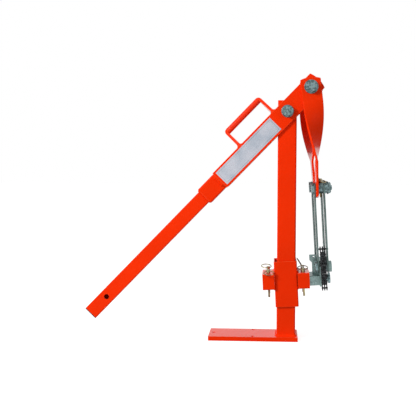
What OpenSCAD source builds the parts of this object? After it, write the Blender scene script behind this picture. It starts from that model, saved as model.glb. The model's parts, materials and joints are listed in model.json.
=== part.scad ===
// Lever post puller. A square post stands on a base plate. A fork lever turns on the post head
// and lifts two twisted arms, four draw straps and a jaw with a grip chain. The jaw plugs into
// a collar that slides on the post. X points from the handle to the jaw, Z points up, and the
// origin is on the underside of the base plate, under the axis of the post.

/* [Base plate] */
// Length of the base plate
base_l = 310; // [280:1:360]
// Depth of the base plate, front to back
base_d = 100; // [96:1:140]
// Thickness of the base plate
base_t = 15; // [8:1:20]
// From the post axis to the short end of the plate
base_front = 41; // [38:1:60]
// Diameter of the three anchor holes
anchor_d = 11; // [6:0.5:14]
// From the long end of the plate to the single anchor hole
anchor_inset = 15; // [12:1:30]
// From the short end of the plate to the pair of anchor holes
anchor_pair_x = 156; // [130:1:200]
// Spacing of the pair of anchor holes
anchor_pair_y = 80; // [60:1:84]

/* [Post] */
// Width of the square post
post_w = 65; // [60:0.5:68]
// Wall of the post
post_wall = 4; // [3:0.5:6]
// Outer corner radius of the post
post_r = 6; // [4:0.5:8]
// Length of the post above the base plate
post_l = 816; // [812:1:822]
// Leg of the fillet weld at the post foot
foot_weld = 6; // [3:0.5:7]

/* [Bolts] */
// From the top of the post down to the lever pivot
pivot_in = 38; // [35:1:43]
// Diameter of the pivot bolt and the top bolt
bolt_d = 24; // [20:1:27]
// Width of the bolt heads and nuts across their flats
head_af = 36; // [34:1:40]
// Height of the bolt heads
head_t = 15; // [10:1:18]
// Height of the nuts
nut_t = 19; // [14:1:24]
// Bolt thread that shows past a nut
thread_out = 4; // [2:1:8]
// Outer diameter of the pivot washers
pivot_washer_d = 43; // [42:1:50]
// Outer diameter of the top washers
top_washer_d = 48; // [44:1:54]
// Thickness of the washers
washer_t = 4; // [3:0.5:6]
// Outer diameter of the bush in the post and of the spacer at the top bolt
bush_d = 34; // [31:1:38]
// Thickness of the thrust washers between post, fork and arms
thrust_t = 1; // [0.5:0.1:2]
// Running gap beside each plate that turns
run_gap = 0.1; // [0.05:0.05:0.2]
// Radial clearance of a pin or bolt in its hole
fit = 0.05; // [0.02:0.01:0.09]

/* [Lever] */
// Angle of the lever below the horizontal
lever_angle = 46; // [42:0.1:48]
// From the pivot to the top bolt
short_arm = 115; // [110:1:126]
// Width of the fork plates
plate_w = 70; // [66:1:76]
// Thickness of the fork plates
plate_t = 8; // [6:0.5:10]
// From the pivot to the lower end of the fork plates
plate_back = 334; // [330:1:370]
// From the top bolt to the corners of the plate ends
plate_tip = 30.5; // [26:0.5:34]
// Rise of the curved plate ends
tip_crown = 7; // [3:0.5:9]
// Width of the sleeve tube
sleeve_w = 65; // [62:0.5:66]
// Wall of the sleeve tube
sleeve_wall = 6; // [4:0.5:6.5]
// From the pivot to the upper end of the sleeve
sleeve_from = 105; // [102:1:120]
// From the pivot to the mouth of the sleeve
sleeve_to = 411; // [395:1:430]
// Leg of the welds on the lever
lever_weld = 6; // [3:0.5:10]

/* [Handle] */
// Width of the handle tube
handle_w = 50; // [46:0.5:51]
// Wall of the handle tube
handle_wall = 4; // [3:0.5:5]
// From the pivot to the end of the handle
handle_to = 989; // [950:1:990]
// Length of the handle inside the sleeve
handle_in = 150; // [100:1:200]
// Thickness of the lip of the end cap
cap_t = 3; // [2:0.5:5]
// Length of the plug of the end cap
cap_plug = 20; // [12:1:30]
// Diameter of the cross hole near the end of the handle
cross_d = 18; // [12:0.5:22]
// From the end of the handle to the cross hole
cross_back = 83; // [60:1:100]

/* [Carry handle] */
// Diameter of the grip bar
grip_d = 22; // [16:1:24]
// From the lever axis to the grip axis
grip_z = 101; // [90:1:120]
// From the pivot to the front leg
leg_front = 36; // [36:1:45]
// From the pivot to the back leg
leg_back = 200; // [190:1:220]
// Thickness of the legs
leg_t = 10; // [6:0.5:10]
// Radius of the fillets at the feet of the legs
leg_fillet = 9; // [4:1:10]
// Radius of the outer corners of the carry handle
carry_r = 15; // [8:1:20]

/* [Label] */
// Length of the bare label
label_l = 266; // [200:1:270]
// Width of the bare label
label_w = 56; // [40:1:60]
// Thickness of the label
label_t = 0.6; // [0.4:0.1:1.5]
// From the pivot to the label
label_from = 59; // [56:1:65]

/* [Arms] */
// Width of the twisted arms
arm_w = 70; // [60:1:74]
// Thickness of the twisted arms
arm_t = 8; // [6:0.5:9]
// Distance between the holes of an arm
arm_l = 347; // [335:1:355]
// From the hole to the corners of an arm's end
arm_tip = 26; // [25:0.5:32]
// From the top hole to the start of the twist
twist_from = 48; // [42:1:60]
// Length of the twist
twist_l = 207; // [180:1:220]
// Sideways slope that an arm turns through along its twist
arm_kink = 0.105; // [0:0.005:0.12]
// Sideways offset of an arm's lower hole
arm_offset = 1; // [0:0.1:6]
// Lean of the hanging train from the vertical
hang_tilt = 3.4; // [2:0.1:4]

/* [Coupler] */
// Diameter of the coupler pins and the jaw pins
pin_d = 16; // [14:0.5:18]
// Diameter of the pin heads and end discs
disc_d = 38; // [32:1:40]
// Thickness of the pin heads
disc_t = 8; // [5:0.5:9]
// Length of the lock collars
lock_l = 15.6; // [15:0.2:22]
// Height of the coupler nuts
pin_nut_t = 21; // [14:1:24]
// Width of the coupler nuts across their flats
pin_nut_af = 33; // [28:1:36]
// Diameter of the roll pins in the coupler nuts
roll_pin_d = 5; // [3:0.5:6]
// Least gap between a leaning arm and its neighbours on the coupler pin
arm_play = 0.3; // [0.2:0.1:1]
// From the arm's side of a lock collar to its ring pin
lock_pin_in = 6.8; // [6.5:0.1:8]

/* [Draw straps] */
// Distance between the holes of a strap
strap_l = 269; // [255:1:275]
// Width of the straps
strap_w = 40; // [36:1:44]
// Thickness of the straps
strap_t = 5; // [4:0.5:6]

/* [Jaw] */
// Thickness of the yoke plate
yoke_t = 8; // [6:0.5:10]
// Half width of the yoke plate
yoke_y = 64; // [60:0.5:65]
// From the jaw pins up to the top edge of the yoke
yoke_up = 20; // [16:1:24]
// From the jaw pins down to the middle of the tongue
tongue_drop = 49; // [44:0.5:54]
// Width of the tongue
tongue_w = 84; // [74:1:88]
// Height of the tongue
tongue_h = 34; // [30:0.5:35]
// From the middle of the sockets down to the middle of the tongue
tongue_low = 2.5; // [0:0.5:3]
// Wall of the tongue
tongue_wall = 5; // [3:0.5:6]
// Depth of the tongue in its socket
tongue_in = 34; // [30:0.5:34]
// Thickness of the end discs on the jaw pins
end_disc_t = 10.5; // [8:0.5:13]
// Diameter of the spacers on the jaw pins
spacer_d = 36; // [26:1:36]
// Thickness of the lug plate
lug_t = 8; // [5:0.5:10]
// Diameter of the hole in the lug
lug_hole_d = 7; // [4:0.5:9]
// From the yoke to the disc of the draw bolt
draw_out = 23; // [18:0.5:26]

/* [Grip chain] */
// Pitch of the leaf chain
pitch = 19.05; // [18.6:0.05:19.05]
// Height of the chain plates
link_h = 18; // [13:0.5:18.5]
// Thickness of the chain plates
link_t = 3.4; // [2.5:0.1:3.6]
// Diameter of the chain pins
chain_pin_d = 5.7; // [4:0.1:6.5]
// From the jaw pin up to the chain anchor
anchor_up = 62; // [60:1:80]
// From the axis of the strap forward to the chain anchor
anchor_fore = 12; // [10:0.5:13]

/* [Collar] */
// Width of the square collar
collar_w = 80; // [79:0.5:86]
// Wall of the collar
collar_wall = 3; // [2:0.1:3.2]
// Length of the collar
collar_l = 158; // [130:1:160]
// Tilt of the collar on the post
collar_tilt = 3; // [0:0.1:3.1]
// Length of the sockets
socket_l = 41; // [40:0.5:46]
// Height of the sockets
socket_h = 54; // [53:0.5:60]
// Depth of the sockets, front to back
socket_d = 100; // [98:1:110]
// Wall of the sockets
socket_wall = 4; // [2.5:0.5:4]
// From the middle of the collar up to the middle of the sockets
socket_up = 11; // [0:1:30]
// Leg of the welds between sockets and collar
socket_weld = 6; // [3:0.5:8]

/* [Ring pins] */
// Diameter of the ring pins
ring_pin_d = 7; // [5:0.5:8]
// From the middle of a socket to each of its ring pins
ring_pin_y = 30; // [24:1:32]
// Ring pin that shows below its hole
ring_pin_out = 28; // [15:1:34]
// Diameter of the head of a ring pin
knob_d = 12; // [11:0.5:13]
// Height of the head of a ring pin
knob_h = 14; // [13:0.5:18]
// Mean diameter of the rings on the sockets
ring_d = 35; // [33:1:36]
// Mean diameter of the rings on the coupler
coupler_ring_d = 24; // [22:0.5:26]
// Diameter of the ring wire
wire_d = 3.2; // [2:0.1:3.2]

/* [Hidden] */
$fn = 64;

// Colours, as the photograph shows them
PAINT = [0.93, 0.20, 0.02];
ZINC = [0.66, 0.70, 0.71];
GALV = [0.58, 0.64, 0.63];
CHAIN = [0.13, 0.13, 0.13];
YELLOW_ZINC = [0.42, 0.36, 0.27];
BLACK = [0.06, 0.06, 0.06];
LABEL = [0.84, 0.86, 0.90];

NEAR = -1;
FAR = 1;
LEFT = -1;
RIGHT = 1;
SIDES = [NEAR, FAR];

// Stack of layers from the post outwards, front to back
pivot_z = base_t + post_l - pivot_in;
thrust_y = post_w / 2 + thrust_t;
fork_y = thrust_y + run_gap;
plate_y = fork_y + plate_t;
pivot_bolt_y = plate_y + run_gap + washer_t;
arm_y = plate_y + thrust_t + run_gap + arm_t / 2;
arm_out_y = arm_y + arm_t / 2;
top_bolt_y = arm_out_y + run_gap + washer_t;
handle_r = 4;
leg_places = [-leg_front, -leg_back];
bush_gap = 1;
washer_step = 4;
chamfer_share = 0.98;
weld_lip = 1;
weld_fn = 32;
curve_fn = 180;
cap_wall = 2.5;
cap_plug_r = 3;
collar_r = 5;
socket_r = 4;
tongue_r = 4;

// A cutter runs past what it cuts by this much
over = 1;

// The hanging train: its frame starts at the top bolt, and its parts lie below
top_x = short_arm * cos(lever_angle);
top_z = pivot_z + short_arm * sin(lever_angle);
low_l = arm_l - twist_from - twist_l;
slope_top = (arm_offset + arm_kink * (twist_l / 2 + low_l)) / arm_l;
slope_low = slope_top - arm_kink;
twist_steps = 30;
arm_depths = concat([-(arm_tip + tip_crown)],
    [for (i = [0:twist_steps]) twist_from + twist_l * i / twist_steps],
    [arm_l + arm_tip + tip_crown]);

// Places along a coupler pin, from the middle of its arm
arm_gap = arm_play + abs(slope_low) * (arm_tip + tip_crown);
left_strap_x = -(arm_t / 2 + arm_gap + strap_t);
lock_x = arm_t / 2 + arm_gap;
lock_pin_x = lock_x + lock_pin_in;
right_strap_x = lock_x + lock_l;
nut_x = right_strap_x + strap_t;
head_x = left_strap_x - disc_t;
roll_pin_out = 5;
coupler_pin_out = 12;
end_disc_wall = 3;

// Places along the jaw pins, from the plane between the arms
jaw_gap = 0.5;
yoke_x = left_strap_x + strap_t + arm_offset + jaw_gap;
jaw_z = -(arm_l + strap_l);
yoke_foot = 4;
lug_w = 22;
lug_beak = 8;
lug_beak_h = 19;
lug_corner = 9;
lug_hole_in = 8;
lug_rise = 15;
lug_tip = jaw_z + yoke_up + lug_rise;
draw_in = 12;
draw_neck_d = pin_d + 10;
tongue_z = jaw_z - tongue_drop;
chain_x = arm_offset + (left_strap_x + strap_t + right_strap_x) / 2;

// The collar hangs on the jaw, so its height follows the train
socket_x = collar_w / 2 + socket_l / 2;
socket_world_x = socket_x * cos(collar_tilt) - socket_up * sin(collar_tilt);
yoke_world_x = top_x - tongue_z * sin(hang_tilt) + yoke_x;
tongue_l = yoke_world_x - (socket_world_x + socket_l / 2) + tongue_in;
slot_x = yoke_x - (yoke_world_x - socket_world_x);
tongue_world_z = top_z + tongue_z * cos(hang_tilt) + slot_x * sin(hang_tilt);
collar_z = tongue_world_z + tongue_low - socket_x * sin(collar_tilt)
    - socket_up * cos(collar_tilt);
slot_play_x = 13;
slot_play_z = 2;
slot_l = ring_pin_d + slot_play_x;
slot_w = ring_pin_d + slot_play_z;

// The chain hangs from its anchor, leans over the jaw spacer and drops in front of it
link_gap = 0.3;
chain_clear = 1.5;
wide_plates = 3;
narrow_plates = wide_plates - 1;
column = link_t + link_gap;
pin_out = 1.4;
pin_half = narrow_plates * column + link_t / 2 + pin_out;
waist_arc = 1.05;
waist_half = 0.36;
waist_r = pitch * waist_arc;
waist_y = waist_r + link_h * waist_half;
anchor_head_d = chain_pin_d + 2;
anchor_head_t = 1.2;
chain_y = -(max(yoke_y, arm_y + spacer_d / 2) + link_h / 2 + chain_clear);
anchor_y = -(arm_y + anchor_fore);
anchor_z = jaw_z + anchor_up;
lean = asin((anchor_y - chain_y) / (2 * pitch));
drop_links = 5;
drop_z = anchor_z - 2 * pitch * cos(lean);

// Ring pins: a ring droops from its pin, and lies away from it at an azimuth from -Y
coupler_azimuth = 42;
coupler_ring_droop = 22;
left_near_azimuth = 10;
left_near_droop = 14;
left_far_azimuth = 204;
left_far_droop = -13;
right_near_azimuth = 180;
right_near_droop = -12;
eye_z = 9;

// The far ring on the right leans on the wall of the collar, or on its top edge
right_far_azimuth = -90;
lean_play = 3;
lean_x = socket_l / 2;
lean_z = collar_l / 2 - socket_up - socket_h / 2 - eye_z;
wall_rise = acos((lean_x - wire_d / 2) / ring_d);
edge_rise = atan2(lean_z, lean_x) + asin(wire_d / (2 * norm([lean_x, lean_z])));
right_far_droop = -min(wall_rise, edge_rise) - lean_play;
eye_d = wire_d + coupler_ring_d - sqrt(pow(coupler_ring_d, 2) - pow(knob_d, 2)) + 0.3;
ring_pin_hole_d = ring_pin_d + 2 * fit;

module at_lever() {
    translate([0, 0, pivot_z]) rotate([0, -lever_angle, 0]) children();
}

module at_hanger() {
    translate([top_x, 0, top_z]) rotate([0, -hang_tilt, 0]) children();
}

module at_collar() {
    translate([0, 0, collar_z]) rotate([0, -collar_tilt, 0]) children();
}

// A flat outline in X and Z, thickened from Y = from to Y = to
module slab_y(from, to) {
    translate([0, to, 0]) rotate([90, 0, 0]) linear_extrude(to - from) children();
}

// A flat outline in Y (first) and Z (second), thickened from X = from to X = to
module slab_x(from, to) {
    translate([from, 0, 0]) rotate([90, 0, 90]) linear_extrude(to - from) children();
}

module rod_x(d, from, to) {
    translate([from, 0, 0]) rotate([0, 90, 0]) cylinder(d = d, h = to - from);
}

module rod_y(d, from, to) {
    translate([0, to, 0]) rotate([90, 0, 0]) cylinder(d = d, h = to - from);
}

module rounded(w, h, r) {
    square([w - 2 * r, h], center = true);
    square([w, h - 2 * r], center = true);
    for (x = [-1, 1], y = [-1, 1])
        translate([x * (w / 2 - r), y * (h / 2 - r)]) circle(r);
}

module box_section(w, h, wall, r) {
    difference() {
        rounded(w, h, r);
        rounded(w - 2 * wall, h - 2 * wall, max(r - wall, 1));
    }
}

// The end of a flat bar past x = 0: corners at reach, with a gentle curve between them
module curved_end(w, reach, crown) {
    r = (w * w / 4 + crown * crown) / (2 * crown);
    intersection() {
        translate([0, -w / 2]) square([reach + crown, w]);
        translate([reach + crown - r, 0]) circle(r, $fn = curve_fn);
    }
}

// A hex head or nut along +Y, with its corners turned off
module hex(af, t) {
    corner = af / cos(30);
    intersection() {
        rotate([-90, 30, 0]) cylinder(d = corner, h = t, $fn = 6);
        rotate([-90, 0, 0]) cylinder(d1 = corner + 2 * t, d2 = af * chamfer_share, h = t);
    }
}

module washer(d, hole, from, to) {
    difference() {
        rod_y(d, from, to);
        rod_y(hole, from - over, to + over);
    }
}

// ---- Base and post ----

module base_plate() color(PAINT) {
    left = base_front - base_l;
    difference() {
        translate([left, -base_d / 2, 0]) cube([base_l, base_d, base_t]);
        translate([left + anchor_inset, 0, -over])
            cylinder(d = anchor_d, h = base_t + 2 * over);
        for (s = SIDES)
            translate([base_front - anchor_pair_x, s * anchor_pair_y / 2, -over])
                cylinder(d = anchor_d, h = base_t + 2 * over);
    }
}

module post_tube() color(PAINT) difference() {
    translate([0, 0, base_t]) linear_extrude(post_l)
        box_section(post_w, post_w, post_wall, post_r);
    translate([0, 0, pivot_z]) rod_y(bush_d + 2 * fit, -post_w, post_w);
}

module post_foot_weld() color(PAINT) {
    top_w = post_w + 2 * weld_lip;
    foot_w = post_w + 2 * foot_weld;
    difference() {
        translate([0, 0, base_t]) hull() {
            linear_extrude(weld_lip)
                rounded(foot_w, foot_w, post_r + foot_weld, $fn = weld_fn);
            linear_extrude(foot_weld) rounded(top_w, top_w, post_r + weld_lip, $fn = weld_fn);
        }
        translate([0, 0, base_t - over]) linear_extrude(foot_weld + 2 * over)
            rounded(post_w, post_w, post_r);
    }
}

module pivot_bush() color(ZINC) translate([0, 0, pivot_z]) difference() {
    rod_y(bush_d, -post_w / 2, post_w / 2);
    rod_y(bolt_d + 2 * fit, -post_w, post_w);
}

// A bolt along Y: its head at the near side of y = -half, its thread past the nut
module cross_bolt(half) {
    translate([0, -half, 0]) mirror([0, 1, 0]) hex(head_af, head_t);
    rod_y(bolt_d, -half, half + nut_t + thread_out);
}

module cross_nut(half) difference() {
    translate([0, half, 0]) hex(head_af, nut_t);
    rod_y(bolt_d + 2 * fit, half - over, half + nut_t + over);
}

module pivot_bolt() color(ZINC)
    translate([0, 0, pivot_z]) cross_bolt(pivot_bolt_y);

module pivot_nut() color(ZINC)
    translate([0, 0, pivot_z]) cross_nut(pivot_bolt_y);

module pivot_washers() color(ZINC) translate([0, 0, pivot_z]) for (s = [0, 1])
    mirror([0, s, 0]) {
        washer(pivot_washer_d, bolt_d + 2 * fit, pivot_bolt_y - washer_t, pivot_bolt_y);
        washer(pivot_washer_d, bush_d + bush_gap, post_w / 2, thrust_y);
    }

// ---- Lever ----

module fork_plate() difference() {
    slab_y(-plate_y, -fork_y) {
        translate([-plate_back, -plate_w / 2]) square([plate_back + short_arm, plate_w]);
        translate([short_arm, 0]) curved_end(plate_w, plate_tip, tip_crown);
    }
    for (x = [0, short_arm])
        translate([x, 0, 0]) rod_y(bolt_d + 2 * fit, -plate_y - over, -fork_y + over);
}

module lever_plate_near() color(PAINT) at_lever() fork_plate();

module lever_plate_far() color(PAINT) at_lever() mirror([0, 1, 0]) fork_plate();

module lever_sleeve() color(PAINT) at_lever() slab_x(-sleeve_to, -sleeve_from)
    box_section(sleeve_w, sleeve_w, sleeve_wall, post_r);

// Weld beads across the ends of the fork plates, and a bead around the mouth of the sleeve
module lever_welds() color(PAINT) at_lever() {
    side = sleeve_w / 2;
    bead = plate_y - side;
    half = side - post_r;
    for (m = [0, 1]) mirror([0, m, 0]) translate([-plate_back, 0, -half])
        linear_extrude(2 * half)
            polygon([[0, -side], [0, -side - bead + weld_lip], [-2 * lever_weld, -side]]);
    outer_w = sleeve_w - 2 * weld_lip;
    neck_w = handle_w + 2 * weld_lip;
    translate([-sleeve_to, 0, 0]) difference() {
        rotate([0, -90, 0]) hull() {
            linear_extrude(weld_lip) rounded(outer_w, outer_w, post_r, $fn = weld_fn);
            linear_extrude(lever_weld) rounded(neck_w, neck_w, handle_r, $fn = weld_fn);
        }
        slab_x(-lever_weld - over, over) rounded(handle_w, handle_w, handle_r);
    }
}

module handle_tube() color(PAINT) at_lever() difference() {
    slab_x(-handle_to + cap_t, -sleeve_to + handle_in)
        box_section(handle_w, handle_w, handle_wall, handle_r);
    translate([-handle_to + cross_back, 0, 0]) rod_y(cross_d, -handle_w, handle_w);
}

module handle_end_cap() color(BLACK) at_lever() {
    inner = handle_w - 2 * handle_wall;
    slab_x(-handle_to, -handle_to + cap_t) rounded(handle_w, handle_w, handle_r);
    slab_x(-handle_to + cap_t, -handle_to + cap_t + cap_plug)
        box_section(inner, inner, cap_wall, cap_plug_r);
}

// The outline of the carry handle from the side, with its outer corners rounded
module carry_outline() {
    top = grip_z + grip_d / 2;
    translate([-(leg_front + leg_back) / 2, 0])
        rounded(leg_back - leg_front + leg_t, 2 * top, carry_r);
}

module carry_grip() color(PAINT) at_lever() intersection() {
    translate([0, 0, grip_z]) rod_x(grip_d, -leg_back + leg_t / 2, -leg_front - leg_t / 2);
    slab_y(-grip_d, grip_d) carry_outline();
}

// Each leg is a flat plate across both fork plates that narrows up to the grip
module carry_legs() color(PAINT) at_lever() for (x = leg_places) intersection() {
    slab_x(x - leg_t / 2, x + leg_t / 2) {
        foot = plate_w / 2;
        polygon([[-plate_y, foot], [plate_y, foot], [grip_d / 2, grip_z], [-grip_d / 2, grip_z]]);
        translate([0, grip_z]) circle(d = grip_d);
    }
    slab_y(-plate_y, plate_y) carry_outline();
}

// Concave fillets where the legs stand on the edges of the fork plates
module carry_welds() color(PAINT) at_lever()
    for (x = leg_places, side = [-1, 1], m = [0, 1])
        mirror([0, m, 0]) translate([x + side * leg_t / 2, 0, plate_w / 2])
            slab_y(-plate_y + weld_lip, -fork_y) difference() {
                translate([min(side, 0) * leg_fillet, 0]) square(leg_fillet);
                translate([side * leg_fillet, leg_fillet]) circle(leg_fillet);
            }

module label_plate() color(LABEL) at_lever() slab_y(-plate_y - label_t, -plate_y)
    translate([-label_from - label_l, -label_w / 2]) square([label_l, label_w]);

// ---- Top bolt ----

module at_top_bolt() {
    translate([top_x, 0, top_z]) children();
}

module top_bolt() color(ZINC) at_top_bolt() cross_bolt(top_bolt_y);

module top_nut() color(ZINC) at_top_bolt() cross_nut(top_bolt_y);

module top_washers() color(ZINC) at_top_bolt() for (m = [0, 1]) mirror([0, m, 0]) {
    washer(top_washer_d, bolt_d + 2 * fit, top_bolt_y - washer_t, top_bolt_y);
    washer(top_washer_d - washer_step, bolt_d + 2 * fit, plate_y, plate_y + thrust_t);
}

module top_spacer() color(ZINC) at_top_bolt()
    washer(bush_d, bolt_d + 2 * fit, -fork_y, fork_y);

// ---- Twisted arms ----

// The middle line of an arm at depth d below its top hole: it bends along the twist
function arm_mid(d) = slope_top * d
    - arm_kink * (d <= twist_from ? 0
        : d <= twist_from + twist_l ? pow(d - twist_from, 2) / (2 * twist_l)
        : twist_l / 2 + d - twist_from - twist_l);
function arm_slope(d) = slope_top
    - arm_kink * min(max((d - twist_from) / twist_l, 0), 1);
function arm_turn(d) = 90 * min(max((d - twist_from) / twist_l, 0), 1);

// The four corners of an arm's section at depth d
function arm_ring(d) =
    let (lean = atan(arm_slope(d)), turn = arm_turn(d),
        across = [cos(lean) * cos(turn), sin(turn), sin(lean) * cos(turn)],
        through = [-cos(lean) * sin(turn), cos(turn), -sin(lean) * sin(turn)])
    [for (c = [[-1, -1], [1, -1], [1, 1], [-1, 1]])
        [arm_mid(d), 0, -d] + c[0] * across * arm_w / 2 + c[1] * through * arm_t / 2];

// Cuts the curved end of an arm, past z = arm_tip, where Y is through the arm
module arm_end_cut() {
    r = (arm_w * arm_w / 4 + tip_crown * tip_crown) / (2 * tip_crown);
    difference() {
        translate([-arm_w, -arm_t, arm_tip - over])
            cube([2 * arm_w, 2 * arm_t, 2 * tip_crown + over]);
        translate([0, 0, arm_tip + tip_crown - r]) rotate([90, 0, 0])
            cylinder(r = r, h = 4 * arm_t, center = true, $fn = curve_fn);
    }
}

// The near arm about its top hole; the far arm is twisted the other way
module twisted_arm() {
    last = len(arm_depths) - 1;
    difference() {
        polyhedron(
            points = [for (d = arm_depths) each arm_ring(d)],
            faces = concat([[3, 2, 1, 0]],
                [for (i = [0:last - 1], k = [0:3])
                    [4 * i + k, 4 * i + (k + 1) % 4, 4 * i + 4 + (k + 1) % 4]],
                [for (i = [0:last - 1], k = [0:3])
                    [4 * i + k, 4 * i + 4 + (k + 1) % 4, 4 * i + 4 + k]],
                [[for (k = [0:3]) 4 * last + k]]));
        rotate([0, -atan(slope_top), 0]) arm_end_cut();
        translate([arm_offset, 0, -arm_l]) rotate([0, -atan(slope_low), 0])
            rotate([0, 180, 90]) arm_end_cut();
        rod_y(bolt_d + 2 * fit, -2 * arm_t, 2 * arm_t);
        translate([arm_offset, 0, -arm_l]) rod_x(pin_d + 2 * fit, -2 * arm_t, 2 * arm_t);
    }
}

module arm_near() color(PAINT) at_hanger() translate([0, -arm_y, 0]) twisted_arm();

module arm_far() color(PAINT) at_hanger() translate([0, arm_y, 0])
    mirror([1, 0, 0]) twisted_arm();

// ---- Coupler ----

// Places a coupler pin or a jaw pin: X runs along the pin, from the middle of its arm
module at_pin(side, z) {
    at_hanger() translate([-side * arm_offset, side * arm_y, z]) children();
}

module coupler_pins() color(ZINC) for (s = SIDES) at_pin(s, -arm_l) difference() {
    union() {
        rod_x(disc_d, head_x, left_strap_x);
        rod_x(pin_d, left_strap_x, nut_x + pin_nut_t + thread_out);
    }
    translate([lock_pin_x, 0, -pin_d]) cylinder(d = ring_pin_hole_d, h = 2 * pin_d);
    translate([nut_x + pin_nut_t / 2, 0, -pin_d]) cylinder(d = roll_pin_d, h = 2 * pin_d);
}

module lock_collars() color(GALV) for (s = SIDES) at_pin(s, -arm_l) difference() {
    rod_x(disc_d, lock_x, right_strap_x);
    rod_x(pin_d + 2 * fit, 0, nut_x);
    translate([lock_pin_x, 0, -disc_d]) cylinder(d = ring_pin_hole_d, h = 2 * disc_d);
}

module coupler_nuts() color(ZINC) for (s = SIDES) at_pin(s, -arm_l) difference() {
    translate([nut_x, 0, 0]) rotate([0, 0, -90]) hex(pin_nut_af, pin_nut_t);
    rod_x(pin_d + 2 * fit, nut_x - over, nut_x + pin_nut_t + over);
    translate([nut_x + pin_nut_t / 2, 0, -disc_d]) cylinder(d = roll_pin_d, h = 2 * disc_d);
}

module coupler_roll_pins() color(CHAIN) for (s = SIDES) at_pin(s, -arm_l)
    translate([nut_x + pin_nut_t / 2, 0, 0])
        cylinder(d = roll_pin_d, h = pin_nut_af + 2 * roll_pin_out, center = true);

// ---- Ring pins ----

// A ring pin about the face that its head rests on: its eye runs along X
module ring_pin(below) difference() {
    union() {
        translate([0, 0, -below]) cylinder(d = ring_pin_d, h = below);
        cylinder(d = knob_d, h = knob_h);
    }
    translate([0, 0, eye_z]) rod_x(eye_d, -knob_d, knob_d);
}

module ring(d, droop) translate([0, 0, eye_z]) rotate([droop, 0, 0]) translate([0, -d / 2, 0])
    rotate_extrude($fn = 48) translate([d / 2, 0]) circle(d = wire_d, $fn = 16);

module at_coupler_ring_pin(side) {
    at_pin(side, -arm_l) translate([lock_pin_x, 0, disc_d / 2]) rotate(coupler_azimuth)
        children();
}

module coupler_ring_pins() color(YELLOW_ZINC) for (s = SIDES) at_coupler_ring_pin(s)
    ring_pin(disc_d + coupler_pin_out);

module coupler_rings() color(YELLOW_ZINC) for (s = SIDES) at_coupler_ring_pin(s)
    ring(coupler_ring_d, coupler_ring_droop);

// ---- Draw straps ----

module strap_outline() {
    translate([-strap_w / 2, -strap_l]) square([strap_w, strap_l]);
    for (z = [0, -strap_l]) translate([0, z]) circle(d = strap_w);
}

module strap_pair(side, anchored) at_pin(side, -arm_l) for (x = [left_strap_x, right_strap_x])
    difference() {
        slab_x(x, x + strap_t) strap_outline();
        for (z = [0, -strap_l]) translate([0, 0, z])
            rod_x(pin_d + 2 * fit, x - over, x + strap_t + over);
        if (anchored) translate([0, -anchor_fore, anchor_z + arm_l])
            rod_x(chain_pin_d + 2 * fit, x - over, x + strap_t + over);
    }

module straps_near() color(GALV) strap_pair(NEAR, true);

module straps_far() color(GALV) strap_pair(FAR, false);

// ---- Jaw ----

module jaw_pins() color(ZINC) for (s = SIDES) at_pin(s, jaw_z) {
    rod_x(disc_d, head_x, left_strap_x);
    rod_x(pin_d, left_strap_x, nut_x + end_disc_t - end_disc_wall);
}

module jaw_end_discs() color(GALV) for (s = SIDES) at_pin(s, jaw_z) difference() {
    rod_x(disc_d, nut_x, nut_x + end_disc_t);
    rod_x(pin_d + 2 * fit, nut_x - over, nut_x + end_disc_t - end_disc_wall);
}

// Spacers between the yoke and the straps, from x = from to x = to at one jaw pin
module jaw_spacer(side, from, to) at_pin(side, jaw_z) translate([side * arm_offset, 0, 0])
    difference() {
        rod_x(spacer_d, from, to);
        rod_x(pin_d + 2 * fit, from - over, to + over);
    }

module jaw_spacers() color(GALV) {
    for (s = SIDES)
        jaw_spacer(s, yoke_x + yoke_t, right_strap_x - s * arm_offset);
    jaw_spacer(FAR, left_strap_x + strap_t - arm_offset, yoke_x);
}

module jaw_yoke() color(GALV) at_hanger() difference() {
    slab_x(yoke_x, yoke_x + yoke_t) {
        foot = tongue_z - tongue_h / 2 - yoke_foot;
        top = jaw_z + yoke_up;
        cheek = yoke_y - arm_y;
        polygon([
            [-tongue_w / 2, foot], [tongue_w / 2, foot],
            [yoke_y, jaw_z - cheek], [yoke_y, top - cheek], [yoke_y - cheek, top],
            [cheek - yoke_y, top], [-yoke_y, top - cheek], [-yoke_y, jaw_z - cheek]
        ]);
    }
    for (s = SIDES) translate([0, s * arm_y, jaw_z])
        rod_x(pin_d + 2 * fit, yoke_x - over, yoke_x + yoke_t + over);
    translate([0, 0, tongue_z]) rod_x(pin_d + 2 * fit, yoke_x - over, yoke_x + yoke_t + over);
}

// The tongue is a flat tube with a slot through it for each ring pin
module jaw_tongue() color(GALV) at_hanger() translate([0, 0, tongue_z]) difference() {
    slab_x(yoke_x - tongue_l, yoke_x) box_section(tongue_w, tongue_h, tongue_wall, tongue_r);
    for (s = SIDES) translate([slot_x, s * ring_pin_y, -tongue_h]) {
        for (end = [-1, 1]) translate([end * (slot_l - slot_w) / 2, 0, 0])
            cylinder(d = slot_w, h = 2 * tongue_h);
        translate([(slot_w - slot_l) / 2, -slot_w / 2, 0])
            cube([slot_l - slot_w, slot_w, 2 * tongue_h]);
    }
}

module jaw_lug() color(GALV) at_hanger() difference() {
    foot = tongue_z + tongue_h / 2;
    back = yoke_x - lug_w;
    slab_y(-lug_t / 2, lug_t / 2) polygon([
        [yoke_x, foot], [back, foot], [back, lug_tip - lug_beak_h - lug_beak],
        [back - lug_beak, lug_tip - lug_beak_h], [back - lug_beak, lug_tip],
        [yoke_x - lug_corner, lug_tip], [yoke_x, lug_tip - lug_corner]
    ]);
    translate([yoke_x - lug_w / 2 - lug_beak / 2, 0, lug_tip - lug_hole_in])
        rod_y(lug_hole_d, -lug_t, lug_t);
}

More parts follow.
